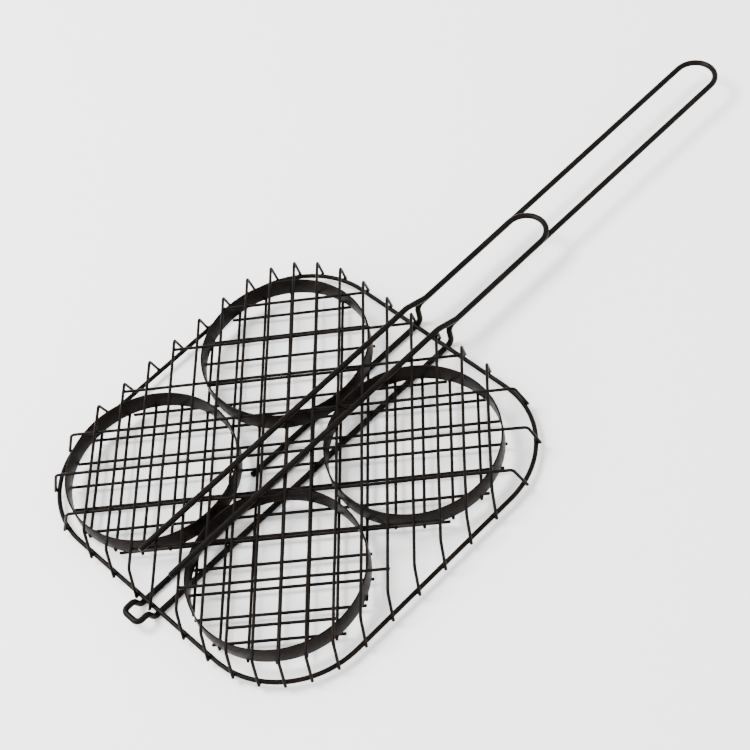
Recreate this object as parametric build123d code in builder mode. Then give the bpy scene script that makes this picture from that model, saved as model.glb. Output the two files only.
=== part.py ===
from build123d import *
from math import copysign, floor, sqrt
import os

# Four-patty grill basket in bent and welded wire, closed, lying on its base.
# The long handle points along +X, the hinge is at the -X end, and +Z is up.
# The origin is under the middle of the whole length, on the surface that it lies on.
# All sizes are in millimetres.

# Patty rings: upright strips of sheet steel, bent round and welded
ring_bore = 99.0
ring_strip = 1.0
ring_height = 12.0
ring_gap = 4.8
ring_edge_break = 0.2

# Wire diameters
handle_wire = 3.5
rim_wire = 2.7
mesh_wire = 1.8

# Grids, which run diagonally to the handle
base_pitch = 15.8
base_overhang = 0.8
lid_pitch = 14.2
lid_cross_pitch = 27.2
folded_cross_wires = 1
shortest_lid_run = 75.0
cross_end_margin = 4.0
cross_end_overhang = 1.0
lid_cross_offset = -2.6

# Lid rim: a square hoop with large round corners, outside the rings. The lid sits a
# little towards the handle, and has slid to the right along its hinge
rim_side_gap = 9.6
rim_corner = 54.0
lid_shift = 4.0
lid_slip = 2.4

# Lid wires fold down at their ends and pass outside the rim
fold_inset = 2.7
fold_bend = 3.0
stub_below_rim = 0.7

# Handles: both are a long U, and the short one lies on the long one
handle_spread = 25.6
long_reach = 373.3
short_reach = 213.7
handle_rise = 14.3
handle_bend = 4.0
drop_run = 14.5
drop_bend = 9.0
long_leg_tuck = 16.0
short_leg_tuck = 14.0
cut_edge_break = 0.3
turn_straight = 0.1

# Hinge: the long handle's wire ends in a shallow tray that the rim turns in
tray_width = 12.3
tray_setback = 3.3
tray_lean = 2.7
tray_length = 13.5
tray_rise = 6.6
tray_bend = 2.8
tray_corner = 3.2
tail_reach = 16.0

# Fits and clearances
weld_gap = 0.02
lid_seat_gap = 0.3
rim_seat_gap = 0.3
handle_seat_gap = 0.3
riser_clearance = 0.8
tray_stub_clearance = 1.15

# Plan of the rings
ring_outer = ring_bore / 2 + ring_strip
ring_offset = ring_outer + ring_gap / 2
rings_half = ring_offset + ring_outer
rim_half = rings_half + rim_side_gap
hinge_x = lid_shift - rim_half
far_rim_x = lid_shift + rim_half

# Heights above the underside of the rings
base_wire_z = -mesh_wire / 2 - weld_gap
base_cross_z = base_wire_z - mesh_wire - weld_gap
handle_low_z = base_cross_z - mesh_wire / 2 - weld_gap - handle_wire / 2
handle_high_z = handle_low_z + handle_rise
rim_z = handle_low_z + handle_wire / 2 + rim_seat_gap + rim_wire / 2
lid_cross_z = ring_height + lid_seat_gap + mesh_wire / 2
lid_wire_z = lid_cross_z + mesh_wire + weld_gap
short_high_z = lid_wire_z + mesh_wire / 2 + weld_gap + handle_wire / 2
short_low_z = handle_high_z + handle_wire + handle_seat_gap


def pass_outside(inset, drop):
    # How far outside the rim's centre line a fold passes, that starts inset and drop from it
    apart = (rim_wire + mesh_wire) / 2 + weld_gap
    return apart * sqrt(1 + ((inset + apart) / drop) ** 2) + weld_gap


# The folds go down outside the rim
rim_pass = pass_outside(fold_inset, lid_cross_z - rim_z)
stub_travel = stub_below_rim * (fold_inset + rim_pass) / (lid_cross_z - rim_z)

# Along the length
riser_x = far_rim_x + rim_pass + stub_travel + mesh_wire / 2 + riser_clearance + handle_wire / 2
tray_x = hinge_x - tray_setback
tab_x = hinge_x - tray_length
leg_y = handle_spread / 2
turn_radius = leg_y - turn_straight

# From the rings' centre to the origin
length_middle = (tab_x + long_reach) / 2
lift = handle_wire / 2 - handle_low_z


def place(x, y, z):
    return Vector(x - length_middle, y + lid_slip, z + lift)


def from_diagonal(u, v):
    # u and v are measured along the two grid directions, from the rings' centre
    return (u + v) / sqrt(2), (v - u) / sqrt(2)


def reach_to_rim(start, heading, offset):
    # Distance from start, along heading, to the rim's centre line moved out by offset
    half = rim_half + offset
    corner = rim_corner + offset
    px, py = start[0] - lid_shift, start[1] + lid_slip
    dx, dy = heading.X, heading.Y
    to_side_x = (half - px * copysign(1, dx)) / abs(dx)
    to_side_y = (half - py * copysign(1, dy)) / abs(dy)
    reach = min(to_side_x, to_side_y)
    hit_x, hit_y = px + reach * dx, py + reach * dy
    if min(abs(hit_x), abs(hit_y)) > half - corner:
        cx = px - copysign(half - corner, hit_x)
        cy = py - copysign(half - corner, hit_y)
        along = cx * dx + cy * dy
        reach = -along + sqrt(along**2 - cx**2 - cy**2 + corner**2)
    return reach


def flat_run(u, v, heading):
    # Length of a lid wire between its folds
    start = from_diagonal(u, v)
    return reach_to_rim(start, heading, -fold_inset) + reach_to_rim(start, -heading, -fold_inset)


def folded_end(fold, passing, height):
    # Fold point and tip of a lid wire that goes down from fold and past the rim at passing
    share = 1 + stub_below_rim / (height - rim_z)
    tip = [f + (p - f) * share for f, p in zip(fold, passing)]
    return [place(*fold, height), place(*tip, rim_z - stub_below_rim)]


def folded_route(u, v, heading, height):
    # The two tips of a lid wire and the two folds between them
    start = from_diagonal(u, v)
    ends = []
    for way in (-heading, heading):
        fold, passing = [
            (start[0] + way.X * reach, start[1] + way.Y * reach)
            for reach in (reach_to_rim(start, way, -fold_inset), reach_to_rim(start, way, rim_pass))
        ]
        ends.append(folded_end(fold, passing, height))
    return ends[0][::-1] + ends[1]


def bent_wire(points, bends, diameter, edge_break=0):
    with BuildPart() as wire:
        with BuildLine() as path:
            FilletPolyline(*points, radius=bends)
        with BuildSketch(Plane(origin=path.line @ 0, z_dir=path.line % 0)):
            Circle(diameter / 2)
        sweep()
        if edge_break:
            chamfer(wire.faces().filter_by(GeomType.PLANE).edges(), length=edge_break)
    return wire.part


def straight_wires(ends, diameter):
    with BuildPart() as wires:
        for start, end in ends:
            with BuildSketch(Plane(origin=start, z_dir=end - start)):
                Circle(diameter / 2)
            extrude(amount=(end - start).length)
    return wires.part


def save(part, label):
    part.label = label
    export_step(part, f"parts/{label}.step")


os.makedirs("parts", exist_ok=True)

# Four patty rings
ring_places = {
    "ring_hinge_left": (-ring_offset, ring_offset),
    "ring_hinge_right": (-ring_offset, -ring_offset),
    "ring_handle_left": (ring_offset, ring_offset),
    "ring_handle_right": (ring_offset, -ring_offset),
}
for ring_name, (ring_x, ring_y) in ring_places.items():
    with BuildPart() as ring:
        with BuildSketch(Plane(origin=place(ring_x, ring_y, 0))):
            Circle(ring_outer)
            Circle(ring_bore / 2, mode=Mode.SUBTRACT)
        extrude(amount=ring_height)
        chamfer(ring.edges().filter_by(GeomType.CIRCLE), length=ring_edge_break)
    save(ring.part, ring_name)


def ring_cover(offset):
    # Half-length of the base wire that lies offset from the rings' centre
    centre = ring_offset * sqrt(2)
    spans = []
    if abs(offset) < ring_outer:
        spans.append(centre + sqrt(ring_outer**2 - offset**2))
    if abs(abs(offset) - centre) < ring_outer:
        spans.append(sqrt(ring_outer**2 - (abs(offset) - centre) ** 2))
    return max(spans) + base_overhang


# Base grid: two layers of straight wires under the rings, in mirrored pairs
base_reach = ring_offset * sqrt(2) + ring_outer
base_count = floor((base_reach - mesh_wire) / base_pitch)
for layer, height in (("wire", base_wire_z), ("cross_wire", base_cross_z)):
    for index in range(base_count + 1):
        offset = index * base_pitch
        half = ring_cover(offset)
        ends = []
        for side in sorted({offset, -offset}):
            if layer == "wire":
                tips = from_diagonal(side, -half), from_diagonal(side, half)
            else:
                tips = from_diagonal(-half, side), from_diagonal(half, side)
            ends.append([place(*tip, height) for tip in tips])
        save(straight_wires(ends, mesh_wire), f"base_{layer}_{index}")

# Long handle: one wire from a cut end under the rings, out to the tip, back along
# the other side to the hinge tray, and in again under the rings
low, high, tray_z = handle_low_z, handle_high_z, handle_low_z + tray_rise
tray_y = tray_width - leg_y
long_route = [
    (-long_leg_tuck, leg_y, low),
    (riser_x, leg_y, low),
    (riser_x, leg_y, high),
    (long_reach, leg_y, high),
    (long_reach, -leg_y, high),
    (riser_x, -leg_y, high),
    (riser_x, -leg_y, low),
    (tray_x, -leg_y, low),
    (tray_x - tray_lean, -leg_y, tray_z),
    (tab_x, -leg_y, tray_z),
    (tab_x, tray_y, tray_z),
    (tray_x - tray_lean, tray_y, tray_z),
    (tray_x, tray_y, low),
    (tail_reach, tray_y, low),
]
long_bends = [
    handle_bend,
    handle_bend,
    turn_radius,
    turn_radius,
    handle_bend,
    handle_bend,
    tray_bend,
    tray_bend,
    tray_corner,
    tray_corner,
    tray_bend,
    tray_bend,
]
long_points = [place(*point) for point in long_route]
save(bent_wire(long_points, long_bends, handle_wire, cut_edge_break), "long_handle")

# Lid rim
rim_corners = [(-rim_half, -rim_half), (rim_half, -rim_half), (rim_half, rim_half), (-rim_half, rim_half)]
with BuildPart() as lid_rim:
    with BuildLine() as hoop:
        FilletPolyline(
            *[place(x + lid_shift, y - lid_slip, rim_z) for x, y in rim_corners],
            radius=rim_corner,
            close=True,
        )
    with BuildSketch(Plane(origin=hoop.line @ 0, z_dir=hoop.line % 0)):
        Circle(rim_wire / 2)
    sweep()
save(lid_rim.part, "lid_rim")


# Lid grid, top layer
up_grid = Vector(1, 1).normalized()
across_grid = Vector(1, -1).normalized()
lid_u = (lid_shift + lid_slip) / sqrt(2)
lid_v = (lid_shift - lid_slip) / sqrt(2)
lid_reach = (rim_half - rim_corner) * sqrt(2) + rim_corner - fold_inset
lid_each_side = floor(lid_reach / lid_pitch)
lid_lines = [lid_u + index * lid_pitch for index in range(-lid_each_side, lid_each_side + 1)]
lid_lines = [line for line in lid_lines if flat_run(line, lid_v, up_grid) > shortest_lid_run]

# One of these wires comes down in the hinge tray: its end is bent square to the rim.
# Its neighbour is bent square too, beyond the tray, if it would come down on the outer bar
stub_apart = mesh_wire / 2 + tray_stub_clearance + handle_wire / 2
tray_stub_y = stub_apart - leg_y
beyond_stub_y = stub_apart + tray_y
tray_line = min(line for line in lid_lines if tray_stub_y + line * sqrt(2) - hinge_x > fold_inset)
bar_touch = (mesh_wire + handle_wire) / 2


def square_end(line, stub_y):
    # Tip and fold of the lid wire on this line, bent square to the rim at stub_y
    fold_x = stub_y + line * sqrt(2)
    pass_x = hinge_x - pass_outside(fold_x - hinge_x, lid_wire_z - rim_z)
    return folded_end((fold_x, stub_y), (pass_x, stub_y), lid_wire_z)[::-1]


for number, line in enumerate(lid_lines, 1):
    points = folded_route(line, lid_v, up_grid, lid_wire_z)
    rim_y = hinge_x - line * sqrt(2)
    if line == tray_line:
        points[:2] = square_end(line, tray_stub_y)
    elif line < tray_line and rim_y - rim_pass - stub_travel - tray_y < bar_touch:
        points[:2] = square_end(line, max(beyond_stub_y, rim_y + fold_inset))
    save(bent_wire(points, fold_bend, mesh_wire), f"lid_wire_{number:02d}")

# Lid grid, bottom layer: the middle wires are folded over the rim as well, and the
# others end on the last wire that they cross
cross_v = lid_v + lid_cross_offset
cross_each_side = floor((lid_reach - abs(lid_cross_offset)) / lid_cross_pitch)
cross_lines = [cross_v + index * lid_cross_pitch for index in range(-cross_each_side, cross_each_side + 1)]
cross_lines = [line for line in cross_lines if flat_run(lid_u, line, across_grid) > shortest_lid_run]
for number, line in enumerate(cross_lines, 1):
    if abs(line - cross_v) < (folded_cross_wires + 0.5) * lid_cross_pitch:
        points = folded_route(lid_u, line, across_grid, lid_cross_z)
        cross_wire = bent_wire(points, fold_bend, mesh_wire)
    else:
        start = from_diagonal(lid_u, line)
        low_end = lid_u - reach_to_rim(start, -across_grid, -fold_inset) + cross_end_margin
        high_end = lid_u + reach_to_rim(start, across_grid, -fold_inset) - cross_end_margin
        crossed = [other for other in lid_lines if low_end < other < high_end]
        tips = (crossed[0] - cross_end_overhang, line), (crossed[-1] + cross_end_overhang, line)
        cross_wire = straight_wires([[place(*from_diagonal(*tip), lid_cross_z) for tip in tips]], mesh_wire)
    save(cross_wire, f"lid_cross_wire_{number}")

# Short handle: its legs lie on the lid grid, then drop on to the long handle
drop_x = far_rim_x - fold_inset
short_half = [
    (hinge_x + short_leg_tuck, short_high_z),
    (drop_x, short_high_z),
    (drop_x + drop_run, short_low_z),
    (short_reach, short_low_z),
]
short_route = [place(x, leg_y - lid_slip, z) for x, z in short_half]
short_route += [place(x, -leg_y - lid_slip, z) for x, z in reversed(short_half)]
short_bends = [drop_bend, drop_bend, turn_radius, turn_radius, drop_bend, drop_bend]
save(bent_wire(short_route, short_bends, handle_wire, cut_edge_break), "short_handle")
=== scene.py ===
import math

import bpy
from mathutils import Matrix, Vector
from mathutils.geometry import intersect_line_line, intersect_line_line_2d, intersect_line_sphere_2d


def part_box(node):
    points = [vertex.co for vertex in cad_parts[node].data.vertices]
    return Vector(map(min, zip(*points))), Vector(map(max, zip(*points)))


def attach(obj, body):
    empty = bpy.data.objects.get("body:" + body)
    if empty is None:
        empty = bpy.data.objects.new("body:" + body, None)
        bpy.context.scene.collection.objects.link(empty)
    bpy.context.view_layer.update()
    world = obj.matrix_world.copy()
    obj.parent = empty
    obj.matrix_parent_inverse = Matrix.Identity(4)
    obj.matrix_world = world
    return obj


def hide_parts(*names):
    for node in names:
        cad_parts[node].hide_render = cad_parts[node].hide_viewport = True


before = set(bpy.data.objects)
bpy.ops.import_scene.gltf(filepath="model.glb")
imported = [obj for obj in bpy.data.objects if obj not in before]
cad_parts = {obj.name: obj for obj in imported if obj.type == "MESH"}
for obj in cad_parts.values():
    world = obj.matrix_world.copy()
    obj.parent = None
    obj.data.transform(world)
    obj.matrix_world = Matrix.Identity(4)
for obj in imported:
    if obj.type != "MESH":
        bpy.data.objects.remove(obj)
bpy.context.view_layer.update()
mm = 0.001
root2 = math.sqrt(2)
print("frame loaded:", len(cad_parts), "nodes")


def addNode(tree, kind, settings=None, links=None):
    # settings are the node's own properties or its inputs, and links go from a socket to an input
    node = tree.nodes.new(kind)
    for name, value in (settings or {}).items():
        if isinstance(name, str) and hasattr(node, name):
            setattr(node, name, value)
        else:
            node.inputs[name].default_value = value
    for name, source in (links or {}).items():
        tree.links.new(source, node.inputs[name])
    return node


def hexColour(code):
    # sRGB hex to linear
    channels = [int(code[i:i + 2], 16) / 255 for i in (1, 3, 5)]
    return [c / 12.92 if c <= 0.04045 else ((c + 0.055) / 1.055) ** 2.4 for c in channels] + [1.0]


def nonStickCoating(name, look):
    material = bpy.data.materials.new(name)
    material.use_nodes = True
    tree = material.node_tree
    tree.nodes.clear()
    spot = addNode(tree, "ShaderNodeTexCoord").outputs["Object"]

    def noise(size, detail, roughness=0.5):
        # size is that of one blotch, in millimetres
        settings = {"Scale": 1 / (size * mm), "Detail": detail, "Roughness": roughness}
        return addNode(tree, "ShaderNodeTexNoise", settings, {"Vector": spot}).outputs["Fac"]

    def spread(source, low, high, toLow=0.0, toHigh=1.0):
        settings = {"From Min": low, "From Max": high, "To Min": toLow, "To Max": toHigh}
        return addNode(tree, "ShaderNodeMapRange", settings, {"Value": source}).outputs["Result"]

    def tint(factor, base, code):
        settings = {"data_type": "RGBA", 7: hexColour(code)}
        links = {0: factor}
        if isinstance(base, str):
            settings[6] = hexColour(base)
        else:
            links[6] = base
        return addNode(tree, "ShaderNodeMix", settings, links).outputs[2]

    cloud = spread(noise(look["cloud"], 3), 0.38, 0.66)
    colour = tint(cloud, look["dark"], look["light"])
    fleck = spread(noise(look["fleck"], 1), 0.64, 0.72, 0, look["fleckAmount"])
    colour = tint(fleck, colour, look["fleckColour"])
    worn = spread(noise(look["rub"], 4, 0.65), 0.58, 0.74, 0, look["rubAmount"])
    colour = tint(worn, colour, look["rubColour"])
    gloss = spread(noise(look["cloud"] * 0.45, 4), 0.3, 0.7, look["smooth"], look["rough"])
    peel = addNode(tree, "ShaderNodeBump", {"Strength": look["peelDepth"], "Distance": 0.06 * mm},
                   {"Height": noise(look["peel"], 2)})
    grit = addNode(tree, "ShaderNodeBump", {"Strength": look["gritDepth"], "Distance": 0.03 * mm},
                   {"Height": noise(look["fleck"], 2), "Normal": peel.outputs["Normal"]})
    shader = addNode(tree, "ShaderNodeBsdfPrincipled",
                     {"IOR": 1.38, "Specular IOR Level": look["shine"], "Metallic": 0.0},
                     {"Base Color": colour, "Roughness": gloss, "Normal": grit.outputs["Normal"]})
    addNode(tree, "ShaderNodeOutputMaterial", None, {"Surface": shader.outputs["BSDF"]})
    return material


# Sprayed and baked PTFE on steel: near black, a little brown where the light catches it, satin,
# with fine orange peel and grit. The finest grain is drawn coarser than real, so that it shows.
coatings = {
    "ring_coating": nonStickCoating("PTFE non-stick sprayed on steel strip", {
        "dark": "#080504", "light": "#140d09", "cloud": 14, "smooth": 0.34, "rough": 0.50, "shine": 0.07,
        "fleck": 0.55, "fleckAmount": 0.35, "fleckColour": "#33271f",
        "rub": 9, "rubAmount": 0.30, "rubColour": "#261c16",
        "peel": 1.1, "peelDepth": 0.55, "gritDepth": 0.35}),
    "wire_coating": nonStickCoating("PTFE non-stick sprayed on thin steel wire", {
        "dark": "#060403", "light": "#100a07", "cloud": 11, "smooth": 0.28, "rough": 0.42, "shine": 0.07,
        "fleck": 0.40, "fleckAmount": 0.30, "fleckColour": "#2e241d",
        "rub": 7, "rubAmount": 0.30, "rubColour": "#231a14",
        "peel": 0.8, "peelDepth": 0.50, "gritDepth": 0.30}),
    "handle_coating": nonStickCoating("PTFE non-stick sprayed on thick steel wire", {
        "dark": "#060403", "light": "#0f0a07", "cloud": 18, "smooth": 0.25, "rough": 0.38, "shine": 0.08,
        "fleck": 0.50, "fleckAmount": 0.28, "fleckColour": "#31261f",
        "rub": 12, "rubAmount": 0.35, "rubColour": "#241b15",
        "peel": 1.0, "peelDepth": 0.50, "gritDepth": 0.30}),
}
print("coatings made")


# The lid's wires wander a little between x = steadyUntil, which keeps the hinge free, and wholeFrom
handBending = {"waveLength": 70 * mm, "steadyUntil": -220 * mm, "wholeFrom": -150 * mm}


def newTree(name, sockets):
    tree = bpy.data.node_groups.new(name, "GeometryNodeTree")
    tree.interface.new_socket("Geometry", in_out="INPUT", socket_type="NodeSocketGeometry")
    for socketName, kind in sockets.items():
        tree.interface.new_socket(socketName, in_out="INPUT", socket_type="NodeSocket" + kind)
    tree.interface.new_socket("Geometry", in_out="OUTPUT", socket_type="NodeSocketGeometry")
    return tree, addNode(tree, "NodeGroupInput").outputs


def closeTree(tree, geometry, material):
    real = addNode(tree, "GeometryNodeRealizeInstances", None, {"Geometry": geometry})
    coated = addNode(tree, "GeometryNodeSetMaterial", None,
                     {"Geometry": real.outputs["Geometry"], "Material": material})
    addNode(tree, "NodeGroupOutput", None, {"Geometry": coated.outputs["Geometry"]})


def named(tree, attribute, kind="FLOAT"):
    # A number or vector that was stored on the points
    node = addNode(tree, "GeometryNodeInputNamedAttribute", {"data_type": kind, "Name": attribute})
    return next(s for s in node.outputs if s.enabled and s.name == "Attribute")


def handBend(tree, source, amount, reach):
    # The same gentle sideways wander at the same place, so wires that cross stay together. It
    # grows from nothing at the x in reach
    spot = addNode(tree, "GeometryNodeInputPosition").outputs["Position"]
    flat = addNode(tree, "ShaderNodeVectorMath", {"operation": "MULTIPLY", 1: (1, 1, 0)}, {0: spot})
    wander = addNode(tree, "ShaderNodeTexNoise", {"Scale": 1 / handBending["waveLength"], "Detail": 1.0},
                     {"Vector": flat.outputs["Vector"]})
    around = addNode(tree, "ShaderNodeVectorMath", {"operation": "SUBTRACT", 1: (0.5, 0.5, 0.5)},
                     {0: wander.outputs["Color"]})
    level = addNode(tree, "ShaderNodeVectorMath", {"operation": "MULTIPLY", 1: (1, 1, 0)},
                    {0: around.outputs["Vector"]})
    parts = addNode(tree, "ShaderNodeSeparateXYZ", None, {"Vector": spot})
    clear = addNode(tree, "ShaderNodeMapRange",
                    {"interpolation_type": "SMOOTHSTEP", "From Max": handBending["wholeFrom"]},
                    {"Value": parts.outputs["X"], "From Min": reach})
    size = addNode(tree, "ShaderNodeMath", {"operation": "MULTIPLY"},
                   {0: amount, 1: clear.outputs["Result"]})
    moved = addNode(tree, "ShaderNodeVectorMath", {"operation": "SCALE"},
                    {0: level.outputs["Vector"], "Scale": size.outputs["Value"]})
    return addNode(tree, "GeometryNodeSetPosition", None,
                   {"Geometry": source, "Offset": moved.outputs["Vector"]}).outputs["Geometry"]


def wireTree():
    # Polylines become round wire: corners are bent to the radius stored on them
    tree, given = newTree("bentWire", {"Wire radius": "Float", "Sides": "Int", "Wander": "Float",
                                       "Steady until": "Float", "Material": "Material"})
    line = addNode(tree, "GeometryNodeMeshToCurve", None, {"Mesh": given["Geometry"]})
    bends = addNode(tree, "GeometryNodeFilletCurve", {"mode": "POLY"},
                    {"Curve": line.outputs["Curve"], "Radius": named(tree, "bend"),
                     "Count": named(tree, "steps", "INT")})
    bent = handBend(tree, bends.outputs["Curve"], given["Wander"], given["Steady until"])
    thick = addNode(tree, "GeometryNodeSetCurveRadius", None,
                    {"Curve": bent, "Radius": named(tree, "taper")})
    section = addNode(tree, "GeometryNodeCurvePrimitiveCircle", None,
                      {"Resolution": given["Sides"], "Radius": given["Wire radius"]})
    tube = addNode(tree, "GeometryNodeCurveToMesh", {"Fill Caps": True},
                   {"Curve": thick.outputs["Curve"], "Profile Curve": section.outputs["Curve"]})
    if "Scale" in tube.inputs:
        tree.links.new(named(tree, "taper"), tube.inputs["Scale"])
    smooth = addNode(tree, "GeometryNodeSetShadeSmooth", None, {"Geometry": tube.outputs["Mesh"]})
    closeTree(tree, smooth.outputs["Geometry"], given["Material"])
    return tree


beadFaces = {"segments": 10, "rings": 6}


def weldTree():
    # A small flattened bead on every point, turned to the direction that is stored there
    tree, given = newTree("weldBeads", {"Unevenness": "Float", "Seed": "Int", "Wander": "Float",
                                        "Steady until": "Float", "Material": "Material"})
    settled = handBend(tree, given["Geometry"], given["Wander"], given["Steady until"])
    ball = addNode(tree, "GeometryNodeMeshUVSphere",
                   {"Segments": beadFaces["segments"], "Rings": beadFaces["rings"], "Radius": 1.0})
    smooth = addNode(tree, "GeometryNodeSetShadeSmooth", None, {"Geometry": ball.outputs["Mesh"]})
    facing = addNode(tree, "FunctionNodeAlignRotationToVector", {"axis": "Z"},
                     {"Vector": named(tree, "facing", "FLOAT_VECTOR")})
    least = addNode(tree, "ShaderNodeMath", {"operation": "SUBTRACT", 0: 1.0}, {1: given["Unevenness"]})
    most = addNode(tree, "ShaderNodeMath", {"operation": "ADD", 0: 1.0}, {1: given["Unevenness"]})
    chance = addNode(tree, "FunctionNodeRandomValue", {"data_type": "FLOAT"})
    for name, source in (("Min", least), ("Max", most)):
        socket = next(s for s in chance.inputs if s.name == name and s.enabled)
        tree.links.new(source.outputs["Value"], socket)
    tree.links.new(given["Seed"], chance.inputs["Seed"])
    drawn = next(s for s in chance.outputs if s.enabled)
    size = addNode(tree, "ShaderNodeVectorMath", {"operation": "SCALE"},
                   {0: named(tree, "size", "FLOAT_VECTOR"), "Scale": drawn})
    beads = addNode(tree, "GeometryNodeInstanceOnPoints", None,
                    {"Points": settled, "Instance": smooth.outputs["Geometry"],
                     "Rotation": facing.outputs["Rotation"], "Scale": size.outputs["Vector"]})
    closeTree(tree, beads.outputs["Instances"], given["Material"])
    return tree


ringLook = {"thickness": 1.0 * mm, "height": 12.0 * mm, "edge": 0.25 * mm, "bore": 99.0 * mm,
            "steps": 192, "edgeSteps": 3}


def stripTree():
    # A strip with rounded edges, bent on edge into a ring round the point that is given
    tree, given = newTree("stripRing", {"Wall radius": "Float", "Thickness": "Float", "Height": "Float",
                                        "Edge radius": "Float", "Material": "Material"})
    circle = addNode(tree, "GeometryNodeCurvePrimitiveCircle", {"Resolution": ringLook["steps"]},
                     {"Radius": given["Wall radius"]})
    section = addNode(tree, "GeometryNodeCurvePrimitiveQuadrilateral", None,
                      {"Width": given["Thickness"], "Height": given["Height"]})
    eased = addNode(tree, "GeometryNodeFilletCurve", {"mode": "POLY", "Count": ringLook["edgeSteps"]},
                    {"Curve": section.outputs["Curve"], "Radius": given["Edge radius"]})
    ring = addNode(tree, "GeometryNodeCurveToMesh", None,
                   {"Curve": circle.outputs["Curve"], "Profile Curve": eased.outputs["Curve"]})
    smooth = addNode(tree, "GeometryNodeSetShadeSmooth", None, {"Geometry": ring.outputs["Mesh"]})
    placed = addNode(tree, "GeometryNodeInstanceOnPoints", None,
                     {"Points": given["Geometry"], "Instance": smooth.outputs["Geometry"]})
    closeTree(tree, placed.outputs["Instances"], given["Material"])
    return tree


trees = {"wire": wireTree(), "weld": weldTree(), "strip": stripTree()}


def grow(name, body, slot, tree, sizes, places, edges=(), numbers=None, stands=()):
    # Runs a tree on points, keeps the result as a plain mesh and puts it on its body
    seedMesh = bpy.data.meshes.new(name + "_points")
    seedMesh.from_pydata([tuple(p) for p in places], list(edges), [])
    for key, values in (numbers or {}).items():
        vector = hasattr(values[0], "__len__")
        kind = "FLOAT_VECTOR" if vector else "INT" if isinstance(values[0], int) else "FLOAT"
        layer = seedMesh.attributes.new(key, kind, "POINT")
        flat = [n for v in values for n in v] if vector else list(values)
        layer.data.foreach_set("vector" if vector else "value", flat)
    helper = bpy.data.objects.new(name + "_helper", seedMesh)
    bpy.context.scene.collection.objects.link(helper)
    modifier = helper.modifiers.new("grow", "NODES")
    modifier.node_group = trees[tree]
    sockets = {s.name: s.identifier for s in trees[tree].interface.items_tree if s.in_out == "INPUT"}
    for socketName, value in dict(sizes, Material=coatings[slot]).items():
        modifier[sockets[socketName]] = value
    depsgraph = bpy.context.evaluated_depsgraph_get()
    mesh = bpy.data.meshes.new_from_object(helper.evaluated_get(depsgraph), depsgraph=depsgraph)
    mesh.name = name
    bpy.data.objects.remove(helper)
    piece = bpy.data.objects.new(name, mesh)
    bpy.context.scene.collection.objects.link(piece)
    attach(piece, body)
    if stands:
        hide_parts(*stands)
    return piece


def middle(node):
    low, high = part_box(node)
    return (low + high) / 2


ringNodes = sorted(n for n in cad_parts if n.startswith("ring_"))
ringsCentre = sum((middle(n) for n in ringNodes), Vector()) / len(ringNodes)
ringFloor = min(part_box(n)[0].z for n in ringNodes)
upGrid = Vector((1, 1, 0)).normalized()
acrossGrid = Vector((1, -1, 0)).normalized()
hoop = {"wire": 2.7 * mm, "corner": 54.0 * mm, "sides": 16, "cornerSteps": 3}
hoopLow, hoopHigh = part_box("lid_rim")
hoop["centre"] = middle("lid_rim")
hoop["half"] = (hoopHigh.y - hoopLow.y - hoop["wire"]) / 2
fold = {"inset": 2.7 * mm, "bend": 3.0 * mm, "below": 0.7 * mm, "weld": 0.02 * mm}
gridWire = 1.8 * mm
flattest = 1e-9  # smallest share of a heading, where one of its parts is zero


def reachToRim(start, heading, offset):
    # Distance from start along heading to the hoop's centre line, moved out by offset
    half, corner = hoop["half"] + offset, hoop["corner"] + offset
    px, py = start.x - hoop["centre"].x, start.y - hoop["centre"].y
    reach = min((half - px * math.copysign(1, heading.x)) / max(abs(heading.x), flattest),
                (half - py * math.copysign(1, heading.y)) / max(abs(heading.y), flattest))
    hitX, hitY = px + reach * heading.x, py + reach * heading.y
    if min(abs(hitX), abs(hitY)) > half - corner:
        cx, cy = px - math.copysign(half - corner, hitX), py - math.copysign(half - corner, hitY)
        along = cx * heading.x + cy * heading.y
        reach = -along + math.sqrt(along ** 2 - cx ** 2 - cy ** 2 + corner ** 2)
    return reach


def rimHeading(point):
    # The hoop's direction at a point on it
    x, y = point.x - hoop["centre"].x, point.y - hoop["centre"].y
    inner = hoop["half"] - hoop["corner"]
    if abs(x) > inner and abs(y) > inner:
        return Vector((-(y - math.copysign(inner, y)), x - math.copysign(inner, x), 0)).normalized()
    return Vector((1, 0, 0)) if abs(y) > abs(x) else Vector((0, 1, 0))


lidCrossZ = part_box("lid_cross_wire_1")[0].z + gridWire / 2
lidWireZ = lidCrossZ + gridWire + fold["weld"]


def passOutside(inset, drop):
    # How far outside the hoop's centre line a fold passes, that starts inset and drop from it
    touching = (hoop["wire"] + gridWire) / 2 + fold["weld"]
    return touching * math.sqrt(1 + ((inset + touching) / drop) ** 2) + fold["weld"]


rimPass = passOutside(fold["inset"], lidCrossZ - hoop["centre"].z)


def foldedEnd(corner, passing, height):
    # Fold and tip of a lid wire that goes down from corner and past the hoop at passing
    share = 1 + fold["below"] / (height - hoop["centre"].z)
    tip = corner + (passing - corner) * share
    corner.z, tip.z = height, hoop["centre"].z - fold["below"]
    return corner, tip


def foldedWire(start, heading, height):
    # Tip, fold, fold and tip of a lid wire through start
    ends = []
    for way in (-heading, heading):
        corner = start + way * reachToRim(start, way, -fold["inset"])
        passing = start + way * reachToRim(start, way, rimPass)
        ends.append(foldedEnd(corner, passing, height))
    return [ends[0][1], ends[0][0], ends[1][0], ends[1][1]]


# Cut tips are rounded: distance from the tip in wire diameters, and share of the full thickness
tipRounding = ((0.0, 0.70), (0.07, 0.88), (0.18, 0.97), (0.32, 1.0))
# A bend gets its steps up to bendStepRadius and more above it, and bendRoom of its radius stays
# free of other points on both sides
bendStepRadius = 6 * mm
bendRoom = 1.3


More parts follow.
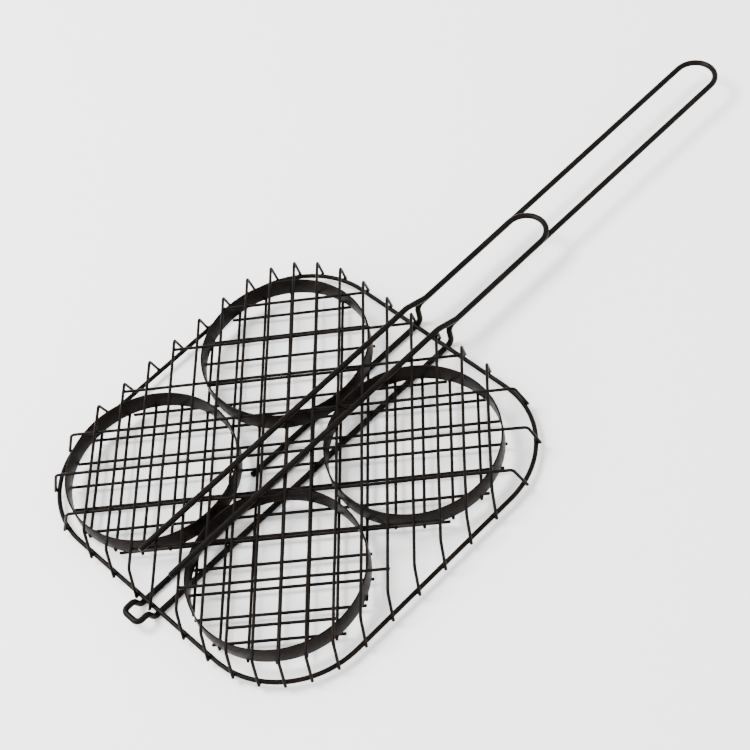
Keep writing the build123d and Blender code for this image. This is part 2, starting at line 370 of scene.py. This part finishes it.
def dressWire(route, bends, diameter, step=9 * mm, closed=False, steps=6):
    # Points, edges and stored numbers of one wire, with its cut tips slightly rounded
    places, radii, counts, tapers = [], [], [], []

    def add(place, bend=0.0, count=1, taper=1.0):
        places.append(place.copy())
        radii.append(float(bend))
        counts.append(int(count))
        tapers.append(float(taper))

    corners = [0.0] + list(bends) + [0.0] if not closed else list(bends)
    ends = list(zip(route, route[1:])) + ([(route[-1], route[0])] if closed else [])
    turns = [math.ceil(steps * max(1.0, r / bendStepRadius)) for r in corners]
    for i, (a, b) in enumerate(ends):
        way = (b - a).normalized()
        if i == 0 and not closed:
            for along, share in tipRounding:
                add(a + way * along * diameter, 0.0, 1, share)
        else:
            add(a, corners[i], turns[i])
        clearA = corners[i] * bendRoom
        clearB = corners[(i + 1) % len(corners)] * bendRoom
        span = (b - a).length - clearA - clearB
        pieces = max(1, int(span / step))
        for k in range(1, pieces):
            add(a + way * (clearA + span * k / pieces))
    if not closed:
        for along, share in reversed(tipRounding):
            add(b - way * along * diameter, 0.0, 1, share)
    count = len(places)
    edges = [(k, k + 1) for k in range(count - 1)] + ([(count - 1, 0)] if closed else [])
    return places, edges, {"bend": radii, "steps": counts, "taper": tapers}


def joinWires(wires):
    places, edges, numbers = [], [], {"bend": [], "steps": [], "taper": []}
    for somePlaces, someEdges, someNumbers in wires:
        first = len(places)
        places += somePlaces
        edges += [(a + first, b + first) for a, b in someEdges]
        for key in numbers:
            numbers[key] += someNumbers[key]
    return places, edges, numbers


def makeWire(name, body, slot, wires, diameter, sides, node, wander=0.0):
    places, edges, numbers = joinWires(wires)
    sizes = {"Wire radius": diameter / 2, "Sides": sides, "Wander": wander,
             "Steady until": handBending["steadyUntil"]}
    return grow(name, body, slot, "wire", sizes, places, edges, numbers, [node])


for node in ringNodes:
    centre = middle(node)
    sizes = {"Wall radius": (ringLook["bore"] + ringLook["thickness"]) / 2,
             "Thickness": ringLook["thickness"], "Height": ringLook["height"],
             "Edge radius": ringLook["edge"]}
    name = "pattyRing" + "".join(word.title() for word in node.split("_")[1:])
    grow(name, "base", "ring_coating", "strip", sizes, [centre], stands=[node])
print("rings made")

baseGrid = {"pitch": 15.8 * mm, "sides": 12, "step": 60 * mm}
baseLines = {"base_wire": [], "base_cross_wire": []}
for node in sorted(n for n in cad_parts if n.startswith("base_")):
    layer, index = node.rsplit("_", 1)
    low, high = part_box(node)
    side = int(index) * baseGrid["pitch"]
    along, across = (upGrid, acrossGrid) if layer == "base_wire" else (acrossGrid, upGrid)
    half = ((high.x - low.x) / 2 - gridWire / 2 / root2) * root2 - side
    origin = Vector((ringsCentre.x, ringsCentre.y, (low.z + high.z) / 2))
    wires = []
    for offset in sorted({side, -side}):
        start, end = (origin + across * offset + along * h for h in (-half, half))
        baseLines[layer].append((start, end))
        wires.append(dressWire([start, end], [], gridWire, step=baseGrid["step"]))
    name = "baseWire" if layer == "base_wire" else "baseCrossWire"
    makeWire(name + index, "base", "wire_coating", wires, gridWire, baseGrid["sides"], node)
print("base grid made")

# A wire that is taller than foldedFrom goes down past the hoop at its ends
lidGrid = {"sides": 12, "wander": 1.6 * mm, "foldedFrom": 3 * mm}
trayWire = {"node": "lid_wire_04"}  # its end is bent square to the hoop, into the hinge tray
hingeX = hoop["centre"].x - hoop["half"]
lidLines = {"lid_wire": [], "lid_cross_wire": []}
foldedEnds = []
for node in sorted(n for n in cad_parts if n.startswith(("lid_wire_", "lid_cross_"))):
    layer, index = node.rsplit("_", 1)
    low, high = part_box(node)
    if layer == "lid_wire":
        heading, height = upGrid, lidWireZ
        start = Vector((low.x, low.y, 0))
        start -= upGrid * (start - hoop["centre"]).dot(upGrid)
    else:
        heading, height = acrossGrid, lidCrossZ
        start = Vector((low.x, high.y, 0))
        start -= acrossGrid * (start - hoop["centre"]).dot(acrossGrid)
    start.z = 0
    if high.z - low.z > lidGrid["foldedFrom"]:
        if node == trayWire["node"]:
            start = Vector((high.x, high.y, 0))
            start -= upGrid * (start - hoop["centre"]).dot(upGrid)
            start.z = 0
        route = foldedWire(start, heading, height)
        if node == trayWire["node"]:
            stubY = low.y + gridWire / 2
            foldX = stubY + (start.x - start.y)
            passX = hingeX - passOutside(foldX - hingeX, height - hoop["centre"].z)
            corner, tip = foldedEnd(Vector((foldX, stubY, 0)), Vector((passX, stubY, 0)), height)
            route[:2] = [tip, corner]
        bends = [fold["bend"]] * 2
        lidLines[layer].append((route[1], route[2]))
        foldedEnds += [(route[1], route[0]), (route[2], route[3])]
    else:
        reach = gridWire / 2 / root2
        route = [Vector((low.x + reach, high.y - reach, height)),
                 Vector((high.x - reach, low.y + reach, height))]
        bends = []
        lidLines[layer].append((route[0], route[1]))
    name = ("lidWire" if layer == "lid_wire" else "lidCrossWire") + index
    makeWire(name, "lid", "wire_coating", [dressWire(route, bends, gridWire)], gridWire,
             lidGrid["sides"], node, lidGrid["wander"])

corners = [hoop["centre"] + Vector((sx * hoop["half"], sy * hoop["half"], 0))
           for sx, sy in ((-1, -1), (1, -1), (1, 1), (-1, 1))]
ring = dressWire(corners, [hoop["corner"]] * 4, hoop["wire"], closed=True, steps=hoop["cornerSteps"])
makeWire("lidRim", "lid", "wire_coating", [ring], hoop["wire"], hoop["sides"], "lid_rim")
print("lid made")

handle = {"wire": 3.5 * mm, "spread": 25.6 * mm, "rise": 14.3 * mm, "bend": 4.0 * mm,
          "longTuck": 16.0 * mm, "shortTuck": 14.0 * mm,
          "dropRun": 14.5 * mm, "dropBend": 9.0 * mm, "turn": 12.7 * mm, "riserClear": 0.8 * mm,
          "sides": 20, "step": 40 * mm, "bendSteps": 8}
tray = {"setback": 3.3 * mm, "lean": 2.7 * mm, "rise": 6.6 * mm, "bend": 2.8 * mm,
        "corner": 3.2 * mm, "tail": 16.0 * mm, "width": 12.3 * mm}
longLow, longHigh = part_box("long_handle")
shortLow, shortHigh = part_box("short_handle")
legY = handle["spread"] / 2
lowZ = longLow.z + handle["wire"] / 2
highZ = lowZ + handle["rise"]
trayZ = lowZ + tray["rise"]
tipX = longHigh.x - handle["wire"] / 2
tabX = longLow.x + handle["wire"] / 2
trayX = hingeX - tray["setback"]
rimFarX = hoop["centre"].x + hoop["half"]
stub = fold["below"] * (fold["inset"] + rimPass) / (lidCrossZ - hoop["centre"].z)
riserX = rimFarX + rimPass + stub + gridWire / 2 + handle["riserClear"] + handle["wire"] / 2
baseY = ringsCentre.y  # the lid has slid sideways, so the two halves have different middles
tailY = baseY - legY + tray["width"]
longRoute = [
    (ringsCentre.x - handle["longTuck"], baseY + legY, lowZ), (riserX, baseY + legY, lowZ),
    (riserX, baseY + legY, highZ), (tipX, baseY + legY, highZ), (tipX, baseY - legY, highZ),
    (riserX, baseY - legY, highZ), (riserX, baseY - legY, lowZ), (trayX, baseY - legY, lowZ),
    (trayX - tray["lean"], baseY - legY, trayZ), (tabX, baseY - legY, trayZ), (tabX, tailY, trayZ),
    (trayX - tray["lean"], tailY, trayZ), (trayX, tailY, lowZ),
    (ringsCentre.x + tray["tail"], tailY, lowZ),
]
longBends = [handle["bend"]] * 2 + [handle["turn"]] * 2 + [handle["bend"]] * 2
longBends += [tray["bend"]] * 2 + [tray["corner"]] * 2 + [tray["bend"]] * 2
longRoute = [Vector(p) for p in longRoute]
makeWire("longHandle", "base", "handle_coating",
         [dressWire(longRoute, longBends, handle["wire"], step=handle["step"],
                    steps=handle["bendSteps"])],
         handle["wire"], handle["sides"], "long_handle")

shortTopZ = lidWireZ + gridWire / 2 + fold["weld"] + handle["wire"] / 2
shortLowZ = shortLow.z + handle["wire"] / 2
shortTipX = shortHigh.x - handle["wire"] / 2
dropX = rimFarX - fold["inset"]
shortHalf = [(hingeX + handle["shortTuck"], shortTopZ), (dropX, shortTopZ),
             (dropX + handle["dropRun"], shortLowZ), (shortTipX, shortLowZ)]
shortRoute = [Vector((x, hoop["centre"].y + legY, z)) for x, z in shortHalf]
shortRoute += [Vector((x, hoop["centre"].y - legY, z)) for x, z in reversed(shortHalf)]
shortBends = [handle["dropBend"]] * 2 + [handle["turn"]] * 2 + [handle["dropBend"]] * 2
makeWire("shortHandle", "lid", "handle_coating",
         [dressWire(shortRoute, shortBends, handle["wire"], step=handle["step"],
                    steps=handle["bendSteps"])],
         handle["wire"], handle["sides"], "short_handle")
print("handles made")

# Size of a bead by what it joins, and how uneven the beads of a group are with the group's seed
welds = {"grid": (1.0 * mm, 1.0 * mm, 0.5 * mm), "ring": (1.15 * mm, 1.15 * mm, 0.5 * mm),
         "rim": (1.15 * mm, 1.15 * mm, 0.6 * mm), "handle": (1.25 * mm, 1.25 * mm, 0.6 * mm)}
weldGroups = {"baseGridWelds": (0.15, 3), "ringWelds": (0.2, 5), "longHandleWelds": (0.15, 7),
              "lidGridWelds": (0.15, 9), "shortHandleWelds": (0.15, 11), "rimWelds": (0.2, 13)}


def crossPoints(these, those, height):
    found = []
    for a, b in these:
        for c, d in those:
            hit = intersect_line_line_2d(a.xy, b.xy, c.xy, d.xy)
            if hit:
                found.append(Vector((hit.x, hit.y, height)))
    return found


def makeWelds(name, body, spots, wander=0.0):
    places = [p for p, size, facing in spots]
    numbers = {"size": [size for p, size, facing in spots],
               "facing": [tuple(facing) for p, size, facing in spots]}
    unevenness, seed = weldGroups[name]
    sizes = {"Unevenness": unevenness, "Seed": seed, "Wander": wander,
             "Steady until": handBending["steadyUntil"]}
    grow(name, body, "wire_coating", "weld", sizes, places, (), numbers)


up = Vector((0, 0, 1))
baseTopZ = baseLines["base_wire"][0][0].z
baseCrossZ = baseLines["base_cross_wire"][0][0].z
spots = [(p, welds["grid"], up) for p in
         crossPoints(baseLines["base_wire"], baseLines["base_cross_wire"], (baseTopZ + baseCrossZ) / 2)]
makeWelds("baseGridWelds", "base", spots)

spots = []
wallRadius = (ringLook["bore"] + ringLook["thickness"]) / 2
for node in ringNodes:
    centre = middle(node)
    for a, b in baseLines["base_wire"]:
        for hit in intersect_line_sphere_2d(a.xy, b.xy, centre.xy, wallRadius, True):
            if hit:
                spots.append((Vector((hit.x, hit.y, ringFloor)), welds["ring"], up))
makeWelds("ringWelds", "base", spots)

longLegs = [(longRoute[0], longRoute[1]), (longRoute[6], longRoute[7]), (longRoute[12], longRoute[13])]
spots = [(p, welds["handle"], up) for p in
         crossPoints(longLegs, baseLines["base_cross_wire"], baseCrossZ - gridWire / 2)]
makeWelds("longHandleWelds", "base", spots)

spots = [(p, welds["grid"], up) for p in
         crossPoints(lidLines["lid_wire"], lidLines["lid_cross_wire"], (lidWireZ + lidCrossZ) / 2)]
makeWelds("lidGridWelds", "lid", spots, lidGrid["wander"])

shortLegs = [(shortRoute[0], shortRoute[1]), (shortRoute[6], shortRoute[7])]
spots = [(p, welds["handle"], up) for p in
         crossPoints(shortLegs, lidLines["lid_wire"], lidWireZ + gridWire / 2)]
makeWelds("shortHandleWelds", "lid", spots)

spots = []
for inner, outer in foldedEnds:
    heading = Vector((outer.x - inner.x, outer.y - inner.y, 0)).normalized()
    start = Vector((inner.x, inner.y, 0))
    onRim = start + heading * reachToRim(start, heading, 0)
    onRim.z = hoop["centre"].z
    pair = intersect_line_line(inner, outer, onRim, onRim + rimHeading(onRim))
    outwards = (pair[0] - pair[1]).normalized()
    spots.append((pair[1] + outwards * hoop["wire"] / 2, welds["rim"], outwards))
makeWelds("rimWelds", "lid", spots)
print("welds made")

floorMaterial = bpy.data.materials.new("Matt white card")
floorMaterial.use_nodes = True
card = floorMaterial.node_tree.nodes["Principled BSDF"]
card.inputs["Base Color"].default_value = hexColour("#fafaf9")
card.inputs["Roughness"].default_value = 0.9
card.inputs["Specular IOR Level"].default_value = 0.2
floorMesh = bpy.data.meshes.new("studioFloor")
floorHalf = 6
floorCorners = [(x * floorHalf, y * floorHalf, 0) for x, y in ((-1, -1), (1, -1), (1, 1), (-1, 1))]
floorMesh.from_pydata(floorCorners, [], [(0, 1, 2, 3)])
floorMesh.materials.append(floorMaterial)
floor = bpy.data.objects.new("studioFloor", floorMesh)
bpy.context.scene.collection.objects.link(floor)

world = bpy.data.worlds.new("studio")
world.use_nodes = True
world.node_tree.nodes["Background"].inputs["Color"].default_value = hexColour("#ffffff")
world.node_tree.nodes["Background"].inputs["Strength"].default_value = 2.3
bpy.context.scene.world = world


def areaLight(name, place, aim, size, power):
    lamp = bpy.data.lights.new(name, "AREA")
    lamp.shape, lamp.size, lamp.energy = "SQUARE", size, power
    holder = bpy.data.objects.new(name, lamp)
    holder.location = place
    holder.rotation_euler = (Vector(aim) - Vector(place)).to_track_quat("-Z", "Y").to_euler()
    bpy.context.scene.collection.objects.link(holder)


# Metres and watts
lamps = {"overhead": {"place": (-0.5, 0.9, 1.6), "aim": (-0.05, 0, 0), "size": 0.7, "power": 60},
         "leftFill": {"place": (-1.6, 0.5, 0.9), "aim": (-0.1, 0, 0), "size": 0.7, "power": 25}}
for name, lamp in lamps.items():
    areaLight(name, **lamp)

# Metres, degrees and millimetres of focal length
shot = {"place": (-0.3909, -0.5516, 0.8330), "turn": 31.50, "down": 51.66, "lean": 16.81,
        "lens": 87.45}
turn, down, lean = (math.radians(shot[key]) for key in ("turn", "down", "lean"))
look = Vector((math.sin(turn) * math.cos(down), math.cos(turn) * math.cos(down), -math.sin(down)))
side = look.cross(Vector((0, 0, 1))).normalized()
top = side.cross(look)
right = side * math.cos(lean) - top * math.sin(lean)
upward = top * math.cos(lean) + side * math.sin(lean)
camera = bpy.data.cameras.new("camera")
camera.lens = shot["lens"]
camera.sensor_width = 36
camera.clip_start = 0.01
camera.dof.use_dof = False
viewer = bpy.data.objects.new("camera", camera)
facing = Matrix((right, upward, -look)).transposed().to_4x4()
viewer.matrix_world = Matrix.Translation(shot["place"]) @ facing
bpy.context.scene.collection.objects.link(viewer)
bpy.context.scene.camera = viewer
print("studio ready")
